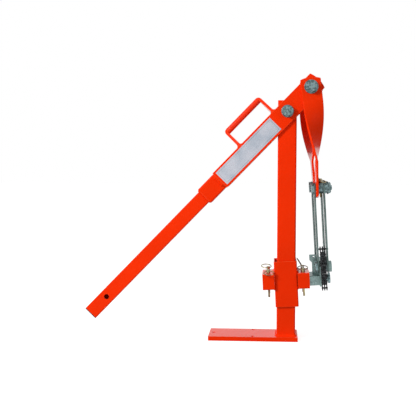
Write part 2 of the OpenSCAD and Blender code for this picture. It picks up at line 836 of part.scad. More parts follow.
module draw_bolt() color(ZINC) at_hanger() translate([0, 0, tongue_z]) {
    face = yoke_x + yoke_t;
    rod_x(pin_d, yoke_x - draw_in, face + draw_out);
    rod_x(draw_neck_d, face, face + draw_out);
    rod_x(disc_d, face + draw_out, face + draw_out + disc_t);
}

// ---- Grip chain ----

module chain_anchor_pin() color(CHAIN) at_pin(NEAR, anchor_z) translate([0, -anchor_fore, 0]) {
    rod_x(anchor_head_d, left_strap_x - anchor_head_t, left_strap_x);
    rod_x(chain_pin_d, left_strap_x, nut_x + over);
    rod_x(anchor_head_d, nut_x, nut_x + anchor_head_t);
}

// Places link number i of a strand that starts at (y, z) and hangs at an angle
module at_link(y, z, angle, i) {
    at_hanger() translate([chain_x, y, z]) rotate([-angle, 0, 0])
        translate([0, 0, -pitch * i]) children();
}

module at_top_link(i) {
    at_link(anchor_y, anchor_z, lean, i) children();
}

module at_drop_link(i) {
    at_link(chain_y, drop_z, 0, i) children();
}

// The plates of one link side by side, centred on x = 0: waisted between their round ends.
// Wide links and narrow links take turns, so their plates interleave on the pins
module link_plates(count) {
    for (k = [0:count - 1]) translate([(2 * k - count + 1) * column, 0, 0]) difference() {
        slab_x(-link_t / 2, link_t / 2) {
            for (end = [0, -pitch]) translate([0, end]) circle(d = link_h);
            difference() {
                translate([-link_h / 2, -pitch]) square([link_h, pitch]);
                for (s = [-1, 1]) translate([s * waist_y, -pitch / 2]) circle(waist_r);
            }
        }
        for (end = [0, -pitch]) translate([0, 0, end])
            rod_x(chain_pin_d + 2 * fit, -link_t / 2 - over, link_t / 2 + over);
    }
}

module chain_pin() rod_x(chain_pin_d, -pin_half, pin_half);

module chain_top_wide_plates() color(CHAIN) at_top_link(0) link_plates(wide_plates);

module chain_top_pin() color(CHAIN) at_top_link(1) chain_pin();

module chain_top_narrow_plates() color(CHAIN) at_top_link(1) link_plates(narrow_plates);

module chain_wide_plates() color(CHAIN) for (i = [0:2:drop_links - 1])
    at_drop_link(i) link_plates(wide_plates);

module chain_pins() color(CHAIN) for (i = [0:drop_links]) at_drop_link(i) chain_pin();

module chain_narrow_plates() color(CHAIN) for (i = [1:2:drop_links - 1])
    at_drop_link(i) link_plates(narrow_plates);

// ---- Collar ----

module collar_tube() color(PAINT) at_collar() translate([0, 0, -collar_l / 2])
    linear_extrude(collar_l) box_section(collar_w, collar_w, collar_wall, collar_r);

module socket(side) at_collar() difference() {
    slab_x(min(side * collar_w / 2, side * (collar_w / 2 + socket_l)),
        max(side * collar_w / 2, side * (collar_w / 2 + socket_l)))
        translate([0, socket_up]) box_section(socket_d, socket_h, socket_wall, socket_r);
    for (s = SIDES) translate([side * socket_x, s * ring_pin_y, socket_up])
        cylinder(d = ring_pin_hole_d, h = 2 * socket_h, center = true);
}

module socket_left() color(PAINT) socket(LEFT);

module socket_right() color(PAINT) socket(RIGHT);

module socket_welds() color(PAINT) at_collar() for (m = [0, 1]) mirror([m, 0, 0])
    for (end = [-1, 1]) slab_y(collar_r - collar_w / 2, collar_w / 2 - collar_r)
        translate([collar_w / 2, socket_up + end * socket_h / 2])
            polygon([[0, 0], [socket_weld, 0], [0, end * socket_weld]]);

module at_socket_pin(x_side, y_side) {
    at_collar() translate([x_side * socket_x, y_side * ring_pin_y, socket_up + socket_h / 2])
        children();
}

module socket_pin() color(YELLOW_ZINC) ring_pin(socket_h + ring_pin_out);

module socket_ring(droop) color(YELLOW_ZINC) ring(ring_d, droop);

module ring_pin_left_near() at_socket_pin(LEFT, NEAR) rotate(left_near_azimuth) socket_pin();

module ring_pin_left_far() at_socket_pin(LEFT, FAR) rotate(left_far_azimuth) socket_pin();

module ring_pin_right_near() at_socket_pin(RIGHT, NEAR) rotate(right_near_azimuth) socket_pin();

module ring_pin_right_far() at_socket_pin(RIGHT, FAR) rotate(right_far_azimuth) socket_pin();

module ring_left_near() at_socket_pin(LEFT, NEAR) rotate(left_near_azimuth)
    socket_ring(left_near_droop);

module ring_left_far() at_socket_pin(LEFT, FAR) rotate(left_far_azimuth)
    socket_ring(left_far_droop);

module ring_right_near() at_socket_pin(RIGHT, NEAR) rotate(right_near_azimuth)
    socket_ring(right_near_droop);

module ring_right_far() at_socket_pin(RIGHT, FAR) rotate(right_far_azimuth)
    socket_ring(right_far_droop);

base_plate();
post_tube();
post_foot_weld();
pivot_bush();
pivot_bolt();
pivot_nut();
pivot_washers();
lever_plate_near();
lever_plate_far();
lever_sleeve();
lever_welds();
handle_tube();
handle_end_cap();
carry_grip();
carry_legs();
carry_welds();
label_plate();
top_bolt();
top_nut();
top_washers();
top_spacer();
arm_near();
arm_far();
coupler_pins();
lock_collars();
coupler_nuts();
coupler_roll_pins();
coupler_ring_pins();
coupler_rings();
straps_near();
straps_far();
jaw_pins();
jaw_end_discs();
jaw_spacers();
jaw_yoke();
jaw_tongue();
jaw_lug();
draw_bolt();
chain_anchor_pin();
chain_top_wide_plates();
chain_top_pin();
chain_top_narrow_plates();
chain_wide_plates();
chain_pins();
chain_narrow_plates();
collar_tube();
socket_left();
socket_right();
socket_welds();
ring_pin_left_near();
ring_pin_left_far();
ring_pin_right_near();
ring_pin_right_far();
ring_left_near();
ring_left_far();
ring_right_near();
ring_right_far();
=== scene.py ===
"""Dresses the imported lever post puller: camera, painted steel, zinc, chain, label and stage."""

import json
import math
from functools import partial

import bmesh
import bpy
from bpy.props import FloatProperty, FloatVectorProperty, PointerProperty
from mathutils import Matrix, Vector
from mathutils.bvhtree import BVHTree

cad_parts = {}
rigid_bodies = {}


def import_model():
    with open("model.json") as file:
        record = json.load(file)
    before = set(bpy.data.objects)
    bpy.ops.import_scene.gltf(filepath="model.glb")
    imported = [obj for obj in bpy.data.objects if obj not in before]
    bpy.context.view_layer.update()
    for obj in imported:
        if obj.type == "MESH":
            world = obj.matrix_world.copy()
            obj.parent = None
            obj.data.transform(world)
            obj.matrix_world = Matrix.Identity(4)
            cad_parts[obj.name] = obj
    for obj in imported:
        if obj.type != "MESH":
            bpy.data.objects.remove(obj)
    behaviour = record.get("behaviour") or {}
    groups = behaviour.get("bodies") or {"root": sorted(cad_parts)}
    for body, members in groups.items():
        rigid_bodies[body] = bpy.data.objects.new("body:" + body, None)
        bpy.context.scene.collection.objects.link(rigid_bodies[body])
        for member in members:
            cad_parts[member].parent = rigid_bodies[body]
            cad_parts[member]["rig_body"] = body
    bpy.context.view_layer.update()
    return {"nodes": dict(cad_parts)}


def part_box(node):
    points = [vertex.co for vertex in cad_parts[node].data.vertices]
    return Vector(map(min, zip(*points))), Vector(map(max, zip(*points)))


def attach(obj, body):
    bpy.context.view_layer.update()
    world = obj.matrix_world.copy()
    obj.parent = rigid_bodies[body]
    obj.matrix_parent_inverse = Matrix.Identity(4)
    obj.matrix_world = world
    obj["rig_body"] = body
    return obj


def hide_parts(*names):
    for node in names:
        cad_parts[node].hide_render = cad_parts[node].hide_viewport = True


bl_info = {
    "name": "Lever post puller",
    "version": (1, 0, 0),
    "blender": (4, 5, 0),
    "location": "View3D > Sidebar > Post Puller",
    "description": "Makes the pieces, finishes, camera and stage of a lever post puller",
    "category": "Object",
}

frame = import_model()
WHITE = (1, 1, 1, 1)
NODES = frame["nodes"]
MM = 0.001

# Image points in the photograph's frame of 416 by 416
FRAME_W = 416
FRAME_H = 416
POINTS = {
    "top_bolt": (311.1, 86.2),
    "pivot_bolt": (288.0, 111.1),
    "handle_end": (94.6, 318.0),
    "cross_hole": (106.7, 296.2),
    "base_left": (207.4, 340.9),
    "base_right": (298.0, 341.9),
    "fork_low_corner": (227.4, 187.2),
    "label": (248.4, 151.2),
    "socket_left_foot": (262.3, 289.5),
    "chain_foot": (321.2, 293.2),
}


def linear(red, green, blue):
    """A colour of 0 to 255 per channel, as the photograph shows it, in linear light."""
    def one(value):
        c = value / 255
        return c / 12.92 if c <= 0.04045 else ((c + 0.055) / 1.055) ** 2.4
    return tuple(one(value) for value in (red, green, blue))


def shade(colour, factor):
    return tuple(min(1.0, c * factor) for c in colour)


def blend_colour(a, b, share):
    return tuple(x + (y - x) * share for x, y in zip(a, b))


# ---- Sizes and colours that a user would change ----

LengthProperty = partial(FloatProperty, subtype="DISTANCE", unit="LENGTH")
AngleProperty = partial(FloatProperty, subtype="ANGLE", unit="ROTATION")
ColourProperty = partial(FloatVectorProperty, subtype="COLOR", size=3, min=0, max=1)


class PullerCamera(bpy.types.PropertyGroup):
    place: FloatVectorProperty(
        name="Place", description="Where the camera stands", subtype="TRANSLATION",
        unit="LENGTH", size=3, default=(-0.0455, -2.0808, 0.6297))
    yaw: AngleProperty(
        name="Yaw", description="Turn of the camera to the right of straight ahead",
        default=math.radians(-1.915))
    pitch: AngleProperty(
        name="Pitch", description="Turn of the camera upwards", default=math.radians(-1.111))
    roll: AngleProperty(
        name="Roll", description="Lean of the camera to the right", default=math.radians(0.382))
    lens: FloatProperty(
        name="Lens", description="Focal length in millimetres", default=51.36, min=10)
    sensor: FloatProperty(
        name="Sensor", description="Sensor width in millimetres", default=36.0, min=10)
    shift_x: FloatProperty(
        name="Shift across", description="Sideways shift of the lens", default=-0.1106)
    shift_y: FloatProperty(
        name="Shift up", description="Upward shift of the lens", default=-0.0913)


class PullerFinish(bpy.types.PropertyGroup):
    paint: ColourProperty(
        name="Powder coat", description="Colour of the powder-coated steel",
        default=linear(240, 47, 3))
    peel: LengthProperty(
        name="Orange peel", description="Height of the ripple in the powder coat",
        default=0.00006, min=0)
    zinc: ColourProperty(
        name="Zinc", description="Colour of the plated bolts and pins",
        default=linear(108, 128, 130))
    galvanised: ColourProperty(
        name="Galvanised steel", description="Colour of the jaw and its discs",
        default=linear(134, 156, 154))
    # Darker than the galvanised steel of the jaw: painted shade on the straps.
    strap: ColourProperty(
        name="Strap steel", description="Colour of the dark draw straps",
        default=linear(76, 92, 88))
    yellow_zinc: ColourProperty(
        name="Yellow zinc", description="Colour of the ring pins and rings",
        default=linear(138, 120, 86))
    chain: ColourProperty(
        name="Chain", description="Colour of the oiled chain", default=linear(40, 41, 43))
    film: ColourProperty(
        name="Label film", description="Colour of the bare label",
        default=linear(172, 180, 192))
    edge: LengthProperty(
        name="Edge radius", description="Rounding of the edges of the heavy plates",
        default=0.0011, min=0)
    fine_edge: LengthProperty(
        name="Fine edge radius", description="Rounding of the edges of small fittings",
        default=0.0006, min=0)


class PullerSizes(bpy.types.PropertyGroup):
    lever_angle: AngleProperty(
        name="Lever angle", description="Angle of the lever below the horizontal",
        default=math.radians(46))
    hang_tilt: AngleProperty(
        name="Hanging tilt", description="Lean of the arms, straps and jaw",
        default=math.radians(3.4))
    collar_tilt: AngleProperty(
        name="Collar tilt", description="Lean of the collar on the post",
        default=math.radians(3.0))
    arm_length: LengthProperty(
        name="Arm length", description="Distance between the holes of an arm", default=0.347)
    arm_width: LengthProperty(
        name="Arm width", description="Width of the flat bar of an arm", default=0.070)
    arm_thickness: LengthProperty(
        name="Arm thickness", description="Thickness of the flat bar of an arm", default=0.008)
    twist_from: LengthProperty(
        name="Twist start", description="From the top hole to the start of the twist",
        default=0.048)
    twist_length: LengthProperty(
        name="Twist length", description="Length of the quarter turn of an arm", default=0.207)
    arm_kink: FloatProperty(
        name="Arm bend", description="Slope that an arm bends through along its twist",
        default=0.105)
    arm_offset: LengthProperty(
        name="Arm offset", description="Sideways offset of the lower hole of an arm",
        default=0.001)
    bead_pitch: LengthProperty(
        name="Bead ripple", description="Length of one ripple of a weld bead", default=0.0034)


class PullerStage(bpy.types.PropertyGroup):
    floor_size: LengthProperty(
        name="Floor size", description="Width of the pale floor", default=24.0)
    ambient: FloatProperty(
        name="Ambient light", description="Strength of the light from all round",
        default=0.46, min=0)
    key: FloatProperty(
        name="Key light", description="Power of the soft light from the upper left",
        unit="POWER", default=84.0, min=0)
    fill: FloatProperty(
        name="Fill light", description="Power of the soft light from the right",
        unit="POWER", default=9.0, min=0)


# ---- Materials ----

def node_in(tree, kind, values):
    """A node of a kind in a tree, with values on its inputs by name."""
    node = tree.nodes.new(kind)
    for name, value in values.items():
        node.inputs[name].default_value = value
    return node


class Finish:
    """A material with a Principled shader, and short calls for its nodes."""

    def __init__(self, name, metallic=0.0, roughness=0.4, specular=0.5):
        self.material = bpy.data.materials.new(name)
        self.material.use_nodes = True
        self.tree = self.material.node_tree
        self.tree.nodes.clear()
        output = self.tree.nodes.new("ShaderNodeOutputMaterial")
        self.shader = self.node("ShaderNodeBsdfPrincipled", {
            "Metallic": metallic, "Roughness": roughness, "Specular IOR Level": specular})
        self.link(self.shader.outputs["BSDF"], output.inputs["Surface"])
        self.coords = self.tree.nodes.new("ShaderNodeTexCoord").outputs["Object"]

    def link(self, source, socket):
        self.tree.links.new(source, socket)

    def node(self, kind, values):
        """A node of a kind, with values on its inputs by name."""
        return node_in(self.tree, kind, values)

    def stretched(self, scale):
        node = self.node("ShaderNodeMapping", {"Scale": scale})
        self.link(self.coords, node.inputs["Vector"])
        return node.outputs["Vector"]

    def noise(self, scale, detail=3.0, roughness=0.5, vector=None):
        node = self.node("ShaderNodeTexNoise", {
            "Scale": scale, "Detail": detail, "Roughness": roughness})
        self.link(vector or self.coords, node.inputs["Vector"])
        return node.outputs["Fac"]

    def cells(self, scale):
        node = self.node("ShaderNodeTexVoronoi", {"Scale": scale})
        self.link(self.coords, node.inputs["Vector"])
        split = self.tree.nodes.new("ShaderNodeSeparateColor")
        self.link(node.outputs["Color"], split.inputs["Color"])
        return split.outputs["Red"]

    def spread(self, value, low, high, to_low=0.0, to_high=1.0):
        node = self.node("ShaderNodeMapRange", {
            "From Min": low, "From Max": high, "To Min": to_low, "To Max": to_high})
        self.link(value, node.inputs["Value"])
        return node.outputs["Result"]

    def mixed(self, share, first, second):
        """Two colours, or sockets that carry one, mixed by a share from 0 to 1."""
        node = self.tree.nodes.new("ShaderNodeMix")
        node.data_type = "RGBA"
        self.link(share, node.inputs["Factor"])
        for socket, colour in ((node.inputs[6], first), (node.inputs[7], second)):
            if isinstance(colour, tuple):
                socket.default_value = (*colour, 1.0)
            else:
                self.link(colour, socket)
        return node.outputs[2]

    def grazing(self, low, high, least=0.0, most=1.0):
        """The least value on faces turned to the viewer, the most on faces seen edge-on."""
        node = self.node("ShaderNodeLayerWeight", {"Blend": 0.5})
        return self.spread(node.outputs["Facing"], low, high, least, most)

    def made(self, colour, roughness, *layers):
        """The material with its colour and roughness linked, and layers of bumps.

        A layer is a height socket, a distance in metres and a strength.
        """
        self.link(colour, self.shader.inputs["Base Color"])
        self.link(roughness, self.shader.inputs["Roughness"])
        normal = None
        for height, distance, strength in layers:
            node = self.node("ShaderNodeBump", {"Distance": distance, "Strength": strength})
            self.link(height, node.inputs["Height"])
            if normal:
                self.link(normal, node.inputs["Normal"])
            normal = node.outputs["Normal"]
        self.link(normal, self.shader.inputs["Normal"])
        return self.material


def powder_coat(name, colour, painted_highlight=0.0, gloss=0.0, shine=0.69):
    """Orange powder coat: fine ripple, slow change of tone, and, where painted_highlight is above
    0, pale patches that are a painted highlight.

    Its gloss sets in at shine, between 0 for faces turned to the viewer and 1 for edge-on.
    """
    settings = bpy.context.scene.puller_finish
    finish = Finish(name, roughness=0.34, specular=0.03)
    finish.shader.inputs["Coat Roughness"].default_value = 0.18
    sheen = finish.grazing(shine, shine + 0.06, gloss, 0.75)
    finish.link(sheen, finish.shader.inputs["Coat Weight"])
    tone = finish.spread(finish.noise(5.0, 2.0), 0.35, 0.65)
    base = finish.mixed(tone, shade(colour, 0.95), shade(colour, 1.05))
    speck = finish.spread(finish.noise(900.0, 2.0, 0.6), 0.62, 0.74)
    base = finish.mixed(speck, base, blend_colour(colour, (0.9, 0.25, 0.08), 0.35))
    # Painted highlight: pale patches in the colour of light caught on an edge.
    if painted_highlight:
        glint_patch = finish.spread(finish.noise(160.0, 4.0, 0.65), 0.42, 0.70, 0.0, painted_highlight)
        base = finish.mixed(glint_patch, base, linear(226, 140, 104))
    return finish.made(
        base, finish.spread(finish.noise(30.0, 4.0, 0.6), 0.3, 0.7, 0.28, 0.40),
        (finish.noise(420.0, 2.0, 0.4), settings.peel, 0.55),
        (finish.noise(1500.0, 1.0), settings.peel * 0.3, 0.35))


def plated(name, colour, roughness, mottle, contrast):
    """Bright zinc plate with the mottling and fine scuffs of handled fasteners."""
    finish = Finish(name, metallic=1.0, roughness=roughness)
    patch = finish.spread(finish.noise(mottle, 4.0, 0.62), 0.40, 0.60)
    base = finish.mixed(patch, shade(colour, 1 - contrast), shade(colour, 1 + contrast))
    scuff = finish.noise(1.0, 3.0, 0.6, finish.stretched((2600.0, 260.0, 900.0)))
    base = finish.mixed(finish.spread(scuff, 0.56, 0.72, 0.0, 0.5), base, shade(colour, 1.35))
    satin = finish.spread(
        finish.noise(mottle * 1.7, 3.0), 0.3, 0.7, roughness - 0.10, roughness + 0.12)
    return finish.made(
        base, satin, (scuff, 0.00004, 0.45), (finish.noise(mottle * 0.8, 3.0), 0.00010, 0.5))


def galvanised_steel(name, colour):
    """Dull galvanised steel: soft spangle, grey-green bloom and a rolled grain."""
    finish = Finish(name, metallic=0.9, roughness=0.42)
    spangle = finish.cells(150.0)
    bloom = finish.spread(finish.noise(26.0, 4.0, 0.6), 0.35, 0.65)
    base = finish.mixed(spangle, shade(colour, 0.45), shade(colour, 1.15))
    base = finish.mixed(bloom, base, shade(blend_colour(colour, (0.3, 0.42, 0.40), 0.4), 0.8))
    grain = finish.noise(1.0, 3.0, 0.6, finish.stretched((1400.0, 1400.0, 90.0)))
    return finish.made(base, finish.spread(spangle, 0.0, 1.0, 0.32, 0.52),
                       (grain, 0.00003, 0.5), (finish.noise(240.0, 3.0), 0.00008, 0.4))


def oiled_chain(name, colour):
    """Blackened chain steel under oil, with brighter patches that are partly rubbed wear and
    partly painted glints.
    """
    finish = Finish(name, metallic=0.3, roughness=0.5, specular=0.12)
    # Brighter patches: partly rubbed wear, partly painted glints.
    glint_patch = finish.spread(finish.noise(190.0, 4.0, 0.65), 0.50, 0.64, 0.0, 0.8)
    return finish.made(
        finish.mixed(glint_patch, shade(colour, 0.6), shade(colour, 4.5)),
        finish.spread(finish.noise(120.0, 3.0), 0.3, 0.7, 0.40, 0.58),
        (finish.noise(700.0, 3.0), 0.00005, 0.5))


def yellow_plate(name, colour):
    """Yellow-passivated zinc: straw tone that drifts to a darker pink and a paler green, the dark
    and pale patches partly real tint and partly painted shade and painted highlight.
    """
    finish = Finish(name, metallic=1.0, roughness=0.30)
    # Dark and pale patches: partly tint of the plating, partly painted shade and painted
    # highlight.
    tint_and_painted_light = finish.spread(finish.noise(70.0, 3.0), 0.35, 0.65)
    base = finish.mixed(tint_and_painted_light, shade(blend_colour(colour, (0.30, 0.16, 0.14), 0.35), 0.5),
                        shade(blend_colour(colour, (0.42, 0.46, 0.26), 0.35), 1.4))
    return finish.made(
        base, finish.spread(finish.noise(200.0, 3.0), 0.3, 0.7, 0.22, 0.40),
        (finish.noise(900.0, 2.0), 0.00003, 0.4))


def moulded_plastic(name, colour):
    """Black moulded plastic with a fine matt grain."""
    finish = Finish(name, roughness=0.5, specular=0.4)
    return finish.made(
        finish.mixed(finish.noise(60.0, 3.0), shade(colour, 0.7), shade(colour, 1.5)),
        finish.spread(finish.noise(500.0, 2.0), 0.3, 0.7, 0.42, 0.60),
        (finish.noise(1300.0, 2.0), 0.00004, 0.5))


def label_film(name, colour):
    """Satin printed film: faint mottled screen and a slight bubble here and there."""
    finish = Finish(name, roughness=0.36, specular=0.45)
    finish.shader.inputs["Coat Weight"].default_value = 0.2
    finish.shader.inputs["Coat Roughness"].default_value = 0.12
    screen = finish.spread(finish.cells(700.0), 0.0, 1.0)
    base = finish.mixed(screen, shade(colour, 0.94), shade(colour, 1.03))
    cloud = finish.spread(finish.noise(18.0, 3.0), 0.4, 0.6, 0.0, 0.5)
    return finish.made(
        finish.mixed(cloud, base, blend_colour(colour, (0.86, 0.80, 0.84), 0.5)),
        finish.spread(finish.noise(90.0, 3.0), 0.3, 0.7, 0.30, 0.42),
        (finish.noise(55.0, 2.0), 0.00012, 0.35))


def finish_named(name):
    """The one material of that name, made when it is first asked for."""
    found = bpy.data.materials.get(name)
    if found:
        return found
    s = bpy.context.scene.puller_finish
    paint, film = tuple(s.paint), tuple(s.film)
    makers = {
        "powder_coat": lambda: powder_coat(name, paint),
        "grip_coat": lambda: powder_coat(name, paint, gloss=0.25),
        "base_coat": lambda: powder_coat(name, paint, shine=0.62),
        # The rounded edges: a paler orange with pale patches, a painted highlight.
        "powder_coat_edge": lambda: powder_coat(name, blend_colour(
            paint, linear(244, 96, 44), 0.5), 0.30),
        "bright_zinc": lambda: plated(name, tuple(s.zinc), 0.34, 150.0, 0.55),
        "dull_zinc": lambda: plated(name, shade(tuple(s.zinc), 0.8), 0.42, 110.0, 0.50),
        "galvanised_steel": lambda: galvanised_steel(name, tuple(s.galvanised)),
        # The straps are the galvanised finish made darker: painted shade.
        "strap_steel": lambda: galvanised_steel(name, tuple(s.strap)),
        "oiled_chain": lambda: oiled_chain(name, tuple(s.chain)),
        "yellow_plate": lambda: yellow_plate(name, tuple(s.yellow_zinc)),
        "moulded_plastic": lambda: moulded_plastic(name, linear(12, 12, 13)),
        "label_film": lambda: label_film(name, film),
        "label_print": lambda: label_film(name, linear(120, 116, 124)),
    }
    return makers[name]()


# ---- Making pieces ----

def mesh_from(work, name):
    """A mesh of what was worked on. The working copy is let go."""
    mesh = bpy.data.meshes.new(name)
    work.to_mesh(mesh)
    work.free()
    return mesh


def new_piece(name, mesh, *finishes):
    piece = bpy.data.objects.new(name, mesh)
    bpy.context.scene.collection.objects.link(piece)
    for finish in finishes:
        mesh.materials.append(finish_named(finish))
    return piece


def bake(piece):
    """Puts what a piece's modifiers make into its mesh."""
    depsgraph = bpy.context.evaluated_depsgraph_get()
    mesh = bpy.data.meshes.new_from_object(piece.evaluated_get(depsgraph))
    old = piece.data
    piece.modifiers.clear()
    piece.data = mesh
    bpy.data.meshes.remove(old)


def smooth(piece, degrees=34):
    piece.data.shade_smooth()
    piece.data.set_sharp_from_angle(angle=math.radians(degrees))


def round_edges(piece, radius, steps=2, degrees=30, finish_index=0):
    piece.data.shade_smooth()
    bevel = piece.modifiers.new("Rounded edges", "BEVEL")
    bevel.width = radius
    bevel.segments = steps
    bevel.limit_method = "ANGLE"
    bevel.angle_limit = math.radians(degrees)
    bevel.material = finish_index
    bevel.use_clamp_overlap = True
    even = piece.modifiers.new("Even faces", "WEIGHTED_NORMAL")
    even.weight = 100
    bake(piece)


def settle(piece, node_names):
    """The piece takes the place of CAD nodes, which it hides, and rides on their body."""
    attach(piece, NODES[node_names[0]]["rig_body"])
    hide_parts(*node_names)
    return piece


def dressed(node, piece_name, finishes, radius, steps=2, change=None):
    """A copy of a CAD node with clean faces and rounded edges, in place of the node."""
    work = bmesh.new()
    work.from_mesh(NODES[node].data)
    bmesh.ops.remove_doubles(work, verts=work.verts, dist=2e-6)
    if change:
        change(work)
    bmesh.ops.dissolve_limit(
        work, angle_limit=math.radians(0.25), verts=work.verts, edges=work.edges)
    for layer in list(work.loops.layers.uv.values()):
        work.loops.layers.uv.remove(layer)
    for face in work.faces:
        face.material_index = 0
    mesh = mesh_from(work, piece_name)
    old_normals = mesh.attributes.get("custom_normal")
    if old_normals:
        mesh.attributes.remove(old_normals)
    piece = new_piece(piece_name, mesh, *finishes)
    round_edges(piece, radius, steps, finish_index=len(finishes) - 1)
    return settle(piece, [node])


def coated(node, piece_name, radius=None, faces="powder_coat"):
    """A powder-coated copy of a CAD node, its rounded edges in the painted highlight finish."""
    s = bpy.context.scene.puller_finish
    return dressed(node, piece_name, [faces, "powder_coat_edge"], radius or s.edge)


def fitting(node, piece_name, finish, radius=None, steps=2, change=None):
    """A copy of a small CAD node in one finish."""
    s = bpy.context.scene.puller_finish
    return dressed(node, piece_name, [finish], radius or s.fine_edge, steps, change)


def fittings(suffix, finish, slot, radius, *nodes, steps=2):
    """Copies of small CAD nodes in one finish, each named after its node."""
    for node in nodes:
        fitting(node, f"{node}_{suffix}", finish, radius, steps)


def refinished(node, finish):
    """A CAD node whose own shape stays, with a better material."""
    data = NODES[node].data
    data.materials.clear()
    data.materials.append(finish_named(finish))


def middle(node):
    low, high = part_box(node)
    return (low + high) / 2


def far_corner(node, direction):
    """The vertex of a CAD node that lies farthest in a direction."""
    way = Vector(direction)
    return max((v.co for v in NODES[node].data.vertices), key=lambda co: co.dot(way)).copy()


def leaning(node, lean):
    """The frame at the middle of a node, leaning by an angle."""
    return Matrix.Translation(middle(node)) @ Matrix.Rotation(-lean, 4, "Y")


def at_lever():
    return leaning("pivot_bush", bpy.context.scene.puller_sizes.lever_angle)


def in_frame(matrix, mesh):
    """The vertices of a mesh, as seen in the frame of a matrix."""
    inward = matrix.inverted()
    return [inward @ v.co for v in mesh.vertices]


def even_steps(reach, spacing):
    """Places from minus a reach to the reach, about a spacing apart."""
    count = round(2 * reach / spacing)
    return [-reach + 2 * reach * i / count for i in range(count + 1)]


def rounded_corners(a, b, r, steps):
    """The corners of a rectangle with half-sizes a and b, each as points of an arc."""
    for cx, cy, start in ((1, 1, 0), (-1, 1, 90), (-1, -1, 180), (1, -1, 270)):
        arc = [math.radians(start + 90 * k / steps) for k in range(steps + 1)]
        yield cx, cy, [(cx * (a - r) + r * math.cos(t), cy * (b - r) + r * math.sin(t))
                       for t in arc]


def lofted(name, rings, closed, *finishes):
    """A skin through rings of points, closed on itself or capped at both ends."""
    work = bmesh.new()
    rows = [[work.verts.new(point) for point in ring] for ring in rings]
    count, size = len(rows), len(rows[0])
    for i in range(count if closed else count - 1):
        a, b = rows[i], rows[(i + 1) % count]
        for k in range(size):
            work.faces.new((a[k], a[(k + 1) % size], b[(k + 1) % size], b[k]))
    if not closed:
        work.faces.new(list(reversed(rows[0])))
        work.faces.new(rows[-1])
    bmesh.ops.recalc_face_normals(work, faces=work.faces)
    return new_piece(name, mesh_from(work, name), *finishes)


def weld_bead(name, stations, closed, frame_matrix):
    """A rippled fillet weld. A station is the inner corner and its two legs as vectors."""
    s = bpy.context.scene.puller_sizes
    across = 9
    run, rings, travelled = [0.0], [], 0.0
    for i in range(1, len(stations)):
        travelled += (stations[i][0] - stations[i - 1][0]).length
        run.append(travelled)
    total = travelled
    if closed:
        total += (stations[0][0] - stations[-1][0]).length
    waves = max(1, round(total / s.bead_pitch))
    for (corner, leg_a, leg_b), place in zip(stations, run):
        taper = 1.0
        if not closed:
            reach = max(leg_a.length, 1e-4)
            taper = min(1.0, 0.45 + 0.55 * min(place, total - place) / (0.8 * reach))
        ring = [corner.copy()]
        for k in range(across):
            t = k / (across - 1)
            angle = t * math.pi / 2
            a = 0.5 * (1 - t) + 0.5 * math.cos(angle)
            b = 0.5 * t + 0.5 * math.sin(angle)
            bow = math.sin(math.pi * t)
            phase = 2 * math.pi * waves * place / total + 1.5 * bow
            swell = 1 + bow * (0.055 * math.sin(phase) + 0.02 * math.sin(phase * 0.37 + 1))
            ring.append(corner + (leg_a * a + leg_b * b) * taper * swell)
        rings.append([frame_matrix @ point for point in ring])
    piece = lofted(name, rings, closed, "powder_coat")
    smooth(piece, 60)
    return piece


def square_loop(half, radius, spacing):
    """Points and outward directions round a rounded square, in two dimensions."""
    loop = []
    straight = 2 * (half - radius)
    steps = max(2, round(straight / spacing))
    turns = max(4, round(radius * math.pi / 2 / spacing))
    for side in range(4):
        turn = Matrix.Rotation(side * math.pi / 2, 2)
        for i in range(steps):
            loop.append((turn @ Vector((half, -half + radius + straight * i / steps)),
                         turn @ Vector((1, 0))))
        for i in range(turns):
            a = math.pi / 2 * i / turns
            way = Vector((math.cos(a), math.sin(a)))
            loop.append((turn @ (Vector((half - radius, half - radius)) + way * radius),
                         turn @ way))
    return loop


def joined(name, pieces):
    """Several pieces in one mesh."""
    work = bmesh.new()
    for piece in pieces:
        work.from_mesh(piece.data)
    mesh = mesh_from(work, name)
    for material in pieces[0].data.materials:
        mesh.materials.append(material)
    for piece in pieces:
        bpy.data.objects.remove(piece)
    result = new_piece(name, mesh)
    smooth(result, 60)
    return result


# ---- Camera and image points ----

def camera_axes(s):
    """Right, up and forward of the camera."""
    forward = Vector((math.sin(s.yaw) * math.cos(s.pitch),
                      math.cos(s.yaw) * math.cos(s.pitch), math.sin(s.pitch)))
    level = Vector((math.cos(s.yaw), -math.sin(s.yaw), 0))
    upright = level.cross(forward)
    right = level * math.cos(s.roll) + upright * math.sin(s.roll)
    up = upright * math.cos(s.roll) - level * math.sin(s.roll)
    return right, up, forward


def on_surface(x, y, tree):
    """Where the ray through an image point meets a surface, or the place nearest the ray."""
    s = bpy.context.scene.puller_camera
    right, up, forward = camera_axes(s)
    longest = max(FRAME_W, FRAME_H)
    ray = (right * (x - FRAME_W / 2 + s.shift_x * longest)
           + up * (FRAME_H / 2 - y + s.shift_y * longest)
           + forward * (longest * s.lens / s.sensor)).normalized()
    origin = Vector(s.place)
    hit = tree.ray_cast(origin, ray)[0]
    if hit is not None:
        return hit
    guess = origin + ray * -origin.dot(ray)
    for _ in range(12):
        place = tree.find_nearest(guess)[0]
        guess = origin + ray * (place - origin).dot(ray)
    return place


def image_point(place):
    """Where a place shows in the photograph's frame."""
    s = bpy.context.scene.puller_camera
    right, up, forward = camera_axes(s)
    longest = max(FRAME_W, FRAME_H)
    away = Vector(place) - Vector(s.place)
    reach = longest * s.lens / s.sensor / away.dot(forward)
    return (away.dot(right) * reach + FRAME_W / 2 - s.shift_x * longest,
            FRAME_H / 2 + s.shift_y * longest - away.dot(up) * reach)


def shown_pieces():
    return [o for o in bpy.data.objects
            if o.type == "MESH" and not o.hide_render and not o.get("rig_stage")]


